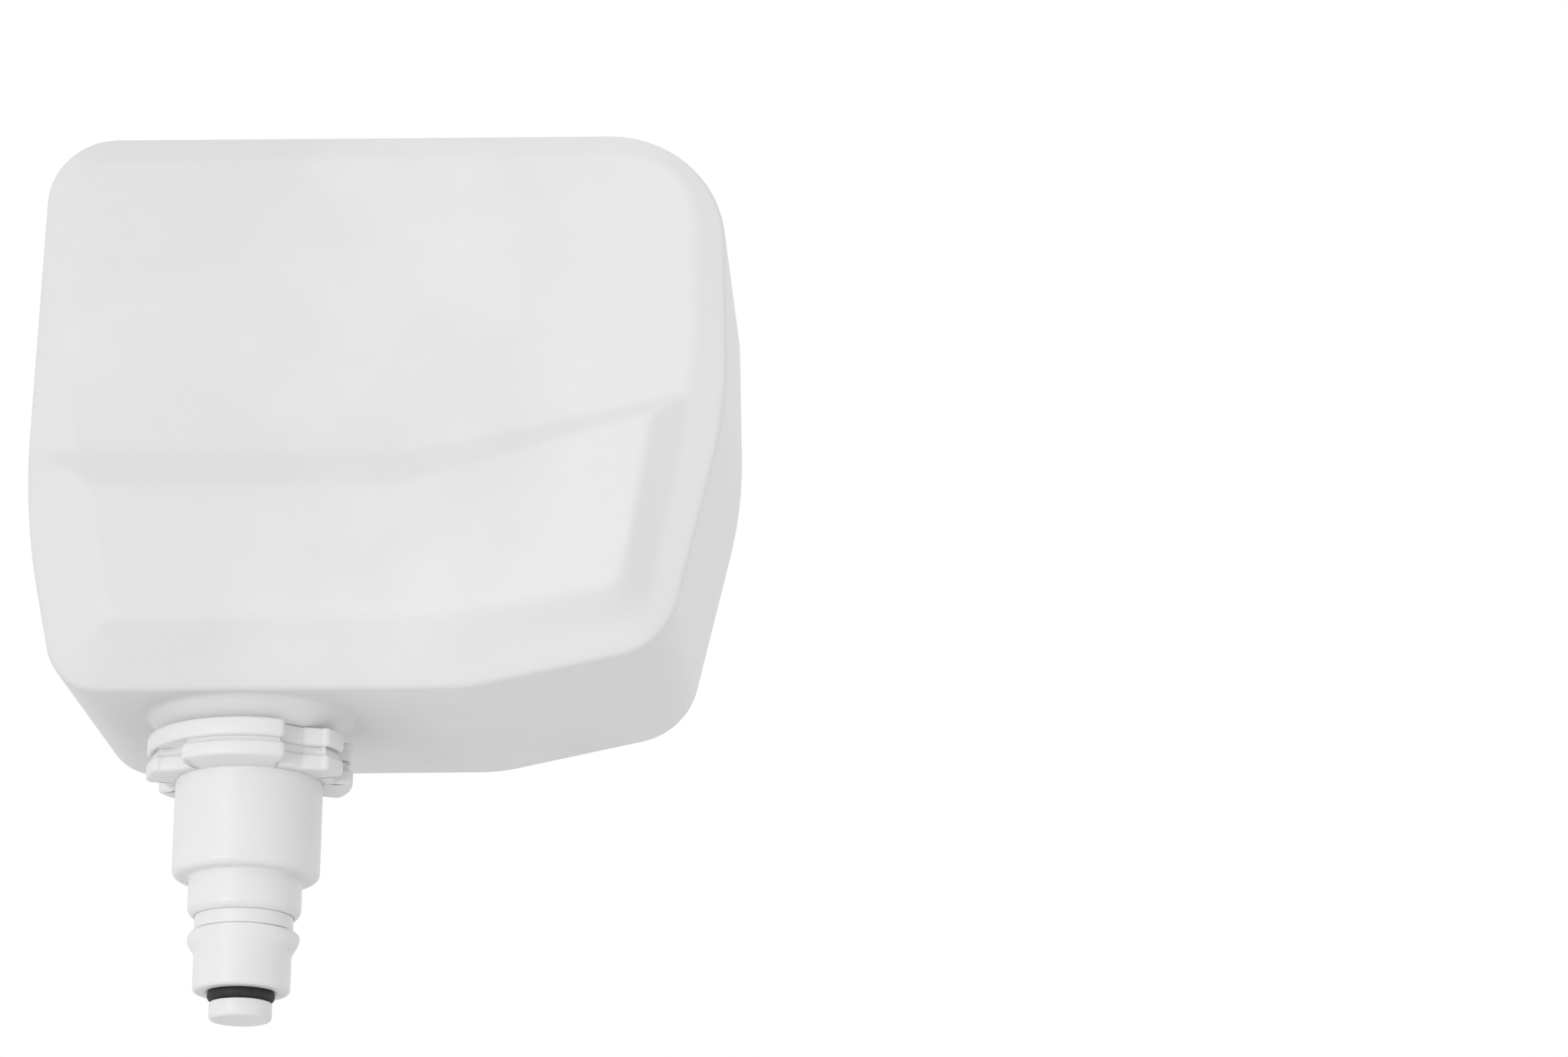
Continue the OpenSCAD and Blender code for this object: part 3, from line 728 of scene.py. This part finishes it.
class FLOATVALVE_OT_rings(bpy.types.Operator):
    """Builds the neck collar and the locking ring with their keyed lobes"""
    bl_idname = "float_valve.rings"
    bl_label = "Keyed rings"

    def execute(self, context):
        self.collar()
        self.lock_ring()
        return {"FINISHED"}

    def collar(self):
        """The fixed upper ring on the tank's neck, with three locking lugs on its hub."""
        s = settings("rings")
        top, low = edge("neck_collar", 2, 1), edge("lock_ring", 2, 1) + 0.02
        hub_low, b = edge("neck_collar", 2, 0), s.edge_soft
        bore_r, hub_r, lug_r = 14.02, 15.5, 16.2
        section = [
            (hub_r, 0, hub_low), (hub_r, 0, low), (None, b, low), (None, b * 0.3, low + b * 0.3),
            (None, 0, low + b), (None, 0, top - b), (None, b * 0.3, top - b * 0.3), (None, b, top),
            (bore_r, 0, top), (bore_r, 0, hub_low)]
        plan = lobed_plan(COLLAR_LOBES, s.root_r, s.lobe_r, s.corner_soft)
        parts = [ring_on_plan(plan, section, s.root_r - b)]
        parts += [sector(hub_r - 0.2, lug_r, hub_low, hub_low + 1, *lug) for lug in LUGS]
        mesh = mesh_of("collar", *joined(*parts))
        even_shading(new_piece("collar", mesh, "white_plastic", TANK_BODY, "neck_collar"))

    def lock_ring(self):
        """The turning lower ring with its cup over the collar's lugs."""
        s = settings("rings")
        low, cup_top = edge("lock_ring", 2, 0), edge("lock_ring", 2, 1)
        top, b = LOBE_TOP, s.edge_soft
        bore_r, cup_r, cup_floor, lug_r = 15.05, 16.36, 1.0, 15.58
        section = [
            (bore_r, 0, low), (None, b, low), (None, b * 0.3, low + b * 0.3), (None, 0, low + b),
            (None, 0, top - b), (None, b * 0.3, top - b * 0.3), (None, b, top),
            (None, s.groove * 0.85, top + 0.25), (None, s.groove, top + 0.5), (None, s.groove, cup_top),
            (cup_r, 0, cup_top), (cup_r, 0, cup_floor), (bore_r, 0, cup_floor)]
        plan = lobed_plan(LOCK_LOBES, s.root_r, s.lobe_r, s.corner_soft)
        parts = [ring_on_plan(plan, section, s.root_r - b, 0.8)]
        parts += [sector(lug_r, cup_r + 0.24, top + 0.05, cup_top, *lug) for lug in LUGS]
        mesh = mesh_of("locking ring", *joined(*parts))
        even_shading(new_piece("locking_ring_finish", mesh, "white_plastic", RING_BODY, "lock_ring"))


class FLOATVALVE_OT_housing(bpy.types.Operator):
    """Builds the stepped valve housing as a turned piece with soft edges"""
    bl_idname = "float_valve.housing"
    bl_label = "Valve housing"

    def execute(self, context):
        s = settings("valve")
        low, top = edge("valve_housing", 2, 0), edge("valve_housing", 2, 1)
        body_low, lip, lip_r, bore_r = low + 8.1, low + 1.5, s.sleeve_r + 0.02, 10.5
        flange_r, flange_low, flange_top = 16.2, 1.05, 2.25
        tube_r, tube_bore_r, snap_r = 12.2, 11.2, 11.8
        cut = math.degrees(math.acos((lip_r - s.step_r + s.step_edge) / s.step_edge))
        profile = arc(s.step_r - s.step_edge, low + s.step_edge, s.step_edge, -cut, 0, 9)
        profile += [(s.step_r, body_low - 0.5), (s.step_r + 0.14, body_low - 0.14)]
        profile += [(s.step_r + 0.5, body_low)]
        profile += arc(s.spigot_r - s.housing_edge, body_low + s.housing_edge, s.housing_edge, -90, 0, 9)
        profile += [(s.spigot_r, flange_low), (flange_r, flange_low), (flange_r, flange_top)]
        profile += [(tube_r, flange_top), (tube_r, top - 0.3), (tube_r - 0.3, top)]
        profile += [(tube_bore_r + 0.3, top), (tube_bore_r, top - 0.3), (tube_bore_r, -0.4), (snap_r, -0.4)]
        profile += [(snap_r, -1.4), (tube_bore_r, -1.4), (tube_bore_r, -3.4), (bore_r, -3.4)]
        profile += [(bore_r, lip), (lip_r, lip)]
        mesh = mesh_of("housing", *turned(profile, s.steps))
        even_shading(new_piece("housing", mesh, "white_plastic", TANK_BODY, "valve_housing"))
        return {"FINISHED"}


class FLOATVALVE_OT_nozzle(bpy.types.Operator):
    """Builds the sliding sleeve and the eared nozzle that snaps onto it"""
    bl_idname = "float_valve.nozzle"
    bl_label = "Sleeve and nozzle"

    def execute(self, context):
        self.sleeve()
        self.nozzle()
        return {"FINISHED"}

    def sleeve(self):
        """The sleeve that slides in the housing."""
        low, top = edge("nozzle_sleeve", 2, 0), edge("nozzle_sleeve", 2, 1)
        shoulder, head_r = edge("nozzle", 2, 1) + 0.1, span("nozzle_sleeve", 0) / 2
        head, r, bore_r = top - 5, settings("valve").sleeve_r, 7.2
        spigot_r, groove_r, groove = 8.9, 8.0, low + 2.0
        profile = [
            (bore_r, low), (spigot_r, low), (spigot_r, groove), (groove_r, groove), (groove_r, groove + 1.4),
            (spigot_r, groove + 1.4), (spigot_r, shoulder), (r - 0.06, shoulder), (r, shoulder + 0.06),
            (r, head), (head_r - 0.2, head), (head_r, head + 0.2), (head_r, head + 1.6),
            (head_r - 1.1, head + 1.6), (head_r - 1.1, head + 3.0), (head_r, head + 3.0),
            (head_r, top - 0.3), (head_r - 0.3, top), (bore_r + 0.6, top), (bore_r, top - 0.6)]
        mesh = mesh_of("sleeve", *turned(profile, settings("valve").steps))
        even_shading(new_piece("sleeve", mesh, "white_plastic", NOZZLE_BODY, "nozzle_sleeve"))

    def nozzle(self):
        """The barrel with its conical seat and two ears that fade into it."""
        s = settings("valve")
        low, top = edge("nozzle", 2, 0), edge("nozzle", 2, 1)
        steps, r, e = s.steps, s.barrel_r, s.nozzle_edge
        half, ear_low = span("nozzle", 0) / 2, low + 7.3
        outer = [(7.1, low + 0.15), (7.25, low)] + arc(r - e, low + e, e, -90, 0, 8)
        outer += [(r, low + e + (ear_low - low - e) * k / 6) for k in range(1, 7)]
        ears = [0.0, 0.02, 0.12, 0.3, 0.48, 0.65, 0.79, 0.9, 0.97, 1.0, 0.985, 0.92, 0.78, 0.5]
        first_ear = len(outer)
        outer += [(r, ear_low + (top - 0.15 - ear_low) * k / 13) for k in range(len(ears))]
        outer += [(r, top - 0.06), (r - 0.06, top)]
        socket_r, bore_r, seat_r = 8.92, 7.6, 5.4
        inner = [(socket_r, top), (socket_r, top - 5.2), (bore_r, top - 5.2), (bore_r, low + 2.8),
                 (seat_r, low + 1.5), (seat_r, low + 0.85)]
        points, faces = turned(outer + inner, steps)
        count = len(outer) + len(inner)
        for k in range(steps):
            t = 2 * math.pi * k / steps
            reach = self.ear_reach(t, r, half) - r
            for i, share in enumerate(ears):
                at = k * count + first_ear + i
                wide = r + reach * share
                points[at] = (wide * math.sin(t), -wide * math.cos(t), points[at][2])
        mesh = mesh_of("nozzle", points, faces)
        even_shading(new_piece("nozzle_finish", mesh, "white_plastic", NOZZLE_BODY, "nozzle"))

    def ear_reach(self, t, r, half):
        """How far the lens-shaped ears reach from the axis in a direction round it."""
        shift = (half * half - r * r) / (2 * r)
        lens = r + shift
        c = abs(math.cos(t))
        return max(r, -shift * c + math.sqrt(lens * lens - shift * shift * (1 - c * c)))


class FLOATVALVE_OT_tip(bpy.types.Operator):
    """Builds the fixed tip disc and its black seal"""
    bl_idname = "float_valve.tip"
    bl_label = "Tip and seal"

    def execute(self, context):
        s = settings("valve")
        low, top = edge("tip_disc", 2, 0), edge("tip_disc", 2, 1)
        r, rim = span("tip_disc", 0) / 2, low + 3.6
        stem_r, bore_r, bore_low = 4.2, 2.5, low + 1.5
        profile = [(0.0, low + 0.55), (2.2, low + 0.5), (2.6, low + 0.42)]
        profile += arc(r - 0.8, low + 0.8, 0.8, -100, 0, 8)
        profile += arc(r - 0.3, rim - 0.3, 0.3, 0, 90, 4)
        profile += [(stem_r, rim), (stem_r, top), (bore_r, top), (bore_r, bore_low), (0.0, bore_low)]
        points, faces = turned(profile, s.steps)
        points = [self.gated(p, low) for p in points]
        mesh = mesh_of("tip", points, faces)
        even_shading(new_piece("tip", mesh, "white_plastic", TANK_BODY, "tip_disc"))
        seal_r, cord = span("tip_oring", 0) / 2, span("tip_oring", 2) / 2
        middle = edge("tip_oring", 2, 0) + cord
        section = arc(seal_r - cord, middle, cord, 0, 360, 32)[:-1]
        mesh = mesh_of("tip seal", *turned(section, s.steps))
        new_piece("tip_seal", mesh, "black_rubber", TANK_BODY, "tip_oring")
        return {"FINISHED"}

    def gated(self, p, low):
        """Leaves the uneven sunk mark of a moulding gate on the tip's underside."""
        x, y, z = p
        r, mark_r, depth = math.hypot(x, y), 5.2, 0.22
        if z > low + 0.6 or r > mark_r:
            return p
        return (x, y, z + depth * noise.noise(Vector((x * 0.55, y * 0.55, 3.1))) * (1 - r / mark_r))


class FLOATVALVE_OT_inner_parts(bpy.types.Operator):
    """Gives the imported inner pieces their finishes"""
    bl_idname = "float_valve.inner_parts"
    bl_label = "Inner pieces"

    def execute(self, context):
        for part in frame["record"]["subparts"]:
            node = frame["nodes"][part["node"]]
            if node.hide_render:
                continue
            node.data.materials.clear()
            node.data.materials.append(material_named(part["material_slot"]))
        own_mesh(frame["nodes"]["return_spring"])
        return {"FINISHED"}


class FLOATVALVE_OT_studio(bpy.types.Operator):
    """Sets up the pale floor, the white surroundings, the lamps and the camera"""
    bl_idname = "float_valve.studio"
    bl_label = "Studio"

    def execute(self, context):
        self.floor(context)
        self.world(context)
        s = settings("studio")
        self.lamp("key", s.key, 0.35, (-0.57, -1.12, -0.1))
        self.lamp("side", s.side, 0.5, (1.0, -0.3, 0.85))
        self.lamp("top", s.top, 0.8, (0.1, 0.4, 1.3))
        self.camera(context, s)
        context.scene.view_settings.view_transform = "Standard"
        return {"FINISHED"}

    def floor(self, context):
        """A pale floor under the hanging valve that can be looked through from below."""
        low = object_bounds()[0][2] - settings("studio").floor_drop * MM
        mesh = bpy.data.meshes.new("floor")
        size = 3.0
        mesh.from_pydata([(-size, -size, low), (size, -size, low), (size, size, low), (-size, size, low)], [],
                         [(0, 1, 2, 3)])
        floor = bpy.data.objects.new("floor", mesh)
        context.scene.collection.objects.link(floor)
        material = bpy.data.materials.new("floor_finish")
        material.use_nodes = True
        nodes, links = material.node_tree.nodes, material.node_tree.links
        nodes.remove(nodes["Principled BSDF"])
        pale = nodes.new("ShaderNodeBsdfDiffuse")
        pale.inputs["Color"].default_value = (0.9, 0.9, 0.9, 1)
        clear = nodes.new("ShaderNodeBsdfTransparent")
        side = nodes.new("ShaderNodeNewGeometry")
        mix = nodes.new("ShaderNodeMixShader")
        links.new(side.outputs["Backfacing"], mix.inputs["Fac"])
        links.new(pale.outputs["BSDF"], mix.inputs[1])
        links.new(clear.outputs["BSDF"], mix.inputs[2])
        links.new(mix.outputs["Shader"], nodes["Material Output"].inputs["Surface"])
        mesh.materials.append(material)
        floor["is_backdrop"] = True

    def world(self, context):
        """Even room light, seen as white by the camera and in reflections."""
        world = bpy.data.worlds.new("room")
        context.scene.world = world
        world.use_nodes = True
        nodes, links = world.node_tree.nodes, world.node_tree.links
        light = nodes["Background"]
        light.inputs["Color"].default_value = (1, 1, 1, 1)
        light.inputs["Strength"].default_value = settings("studio").world
        white = nodes.new("ShaderNodeBackground")
        white.inputs["Color"].default_value = (1, 1, 1, 1)
        white.inputs["Strength"].default_value = 1.0
        path = nodes.new("ShaderNodeLightPath")
        mix = nodes.new("ShaderNodeMixShader")
        seen = path.outputs["Is Camera Ray"]
        for ray in ("Is Glossy Ray", "Is Transmission Ray"):
            either = nodes.new("ShaderNodeMath")
            either.operation = "MAXIMUM"
            links.new(seen, either.inputs[0])
            links.new(path.outputs[ray], either.inputs[1])
            seen = either.outputs["Value"]
        links.new(seen, mix.inputs["Fac"])
        links.new(light.outputs["Background"], mix.inputs[1])
        links.new(white.outputs["Background"], mix.inputs[2])
        links.new(mix.outputs["Shader"], nodes["World Output"].inputs["Surface"])

    def lamp(self, name, power, size, place):
        """A square soft lamp, its size and place in metres, aimed at the middle of the object."""
        light = bpy.data.lights.new(name, "AREA")
        light.energy = power
        light.size = size
        lamp = bpy.data.objects.new(name, light)
        lamp.location = place
        middle = Vector((0.02, 0.0, 0.04))
        lamp.rotation_euler = (middle - Vector(place)).to_track_quat("-Z", "Y").to_euler()
        bpy.context.scene.collection.objects.link(lamp)

    def camera(self, context, s):
        """The photograph's camera, placed so that the ring's underside shows at its image point."""
        data = bpy.data.cameras.new("camera")
        data.lens = s.focal
        data.sensor_width = 36.0
        data.sensor_fit = "AUTO"
        data.clip_end = 20
        camera = bpy.data.objects.new("camera", data)
        a, e = math.radians(s.azimuth), math.radians(s.elevation)
        ahead = Vector((-math.sin(a) * math.cos(e), math.cos(a) * math.cos(e), math.sin(e)))
        right = Vector((math.cos(a), math.sin(a), 0))
        above = right.cross(ahead)
        x, y = POINTS["ring_underside"]
        pixels = s.focal / data.sensor_width * FRAME_W
        across, up = (x - FRAME_W / 2) / pixels, (FRAME_H / 2 - y) / pixels
        anchor = Vector((0, 0, LOBE_TOP * MM))
        camera.location = anchor - (ahead + right * across + above * up) * s.distance * MM
        camera.rotation_euler = ahead.to_track_quat("-Z", "Y").to_euler()
        context.scene.collection.objects.link(camera)
        context.scene.camera = camera


# ---- where things show in the picture ----


def in_picture(place):
    """The picture x and y of a place in metres."""
    camera = bpy.context.scene.camera
    at = camera.matrix_world.inverted() @ Vector(place)
    pixels = camera.data.lens / camera.data.sensor_width * FRAME_W
    return FRAME_W / 2 + pixels * at.x / -at.z, FRAME_H / 2 - pixels * at.y / -at.z


def seen_vertices(name):
    """Picture places of a piece's finished vertices."""
    piece = bpy.data.objects[name]
    mesh = piece.evaluated_get(bpy.context.evaluated_depsgraph_get()).to_mesh()
    return [in_picture(piece.matrix_world @ v.co) for v in mesh.vertices]


def write_points():
    """Works out where the tank's, the nozzle's and the tip's finished vertices show in the picture."""
    bpy.context.view_layer.update()
    tank = seen_vertices("tank")
    ears = seen_vertices("nozzle_finish")
    tip = seen_vertices("tip")


class FLOATVALVE_PT_panel(bpy.types.Panel):
    """Lists the pieces of the float valve"""
    bl_idname = "FLOATVALVE_PT_panel"
    bl_label = "Float valve"
    bl_space_type = "VIEW_3D"
    bl_region_type = "UI"
    bl_category = "Float valve"

    def draw(self, context):
        for step in STEPS:
            self.layout.operator(step.bl_idname)


GROUPS = {"tank": TankSizes, "rings": RingSizes, "valve": ValveSizes, "finishes": Finishes,
          "studio": StudioSettings}
STEPS = (FLOATVALVE_OT_tank, FLOATVALVE_OT_rings, FLOATVALVE_OT_housing, FLOATVALVE_OT_nozzle,
         FLOATVALVE_OT_tip, FLOATVALVE_OT_inner_parts, FLOATVALVE_OT_studio)


def register():
    """Registers the property groups, operators and panel."""
    for name, group in GROUPS.items():
        bpy.utils.register_class(group)
        setattr(bpy.types.Scene, "float_valve_" + name, PointerProperty(type=group))
    for step in STEPS:
        bpy.utils.register_class(step)
    bpy.utils.register_class(FLOATVALVE_PT_panel)


def unregister():
    """Removes them again."""
    bpy.utils.unregister_class(FLOATVALVE_PT_panel)
    for step in reversed(STEPS):
        bpy.utils.unregister_class(step)
    for name, group in GROUPS.items():
        delattr(bpy.types.Scene, "float_valve_" + name)
        bpy.utils.unregister_class(group)


def main():
    """Builds every piece in order."""
    register()
    for step in STEPS:
        group, name = step.bl_idname.split(".")
        getattr(getattr(bpy.ops, group), name)()
    write_points()


if __name__ == "__main__":
    main()
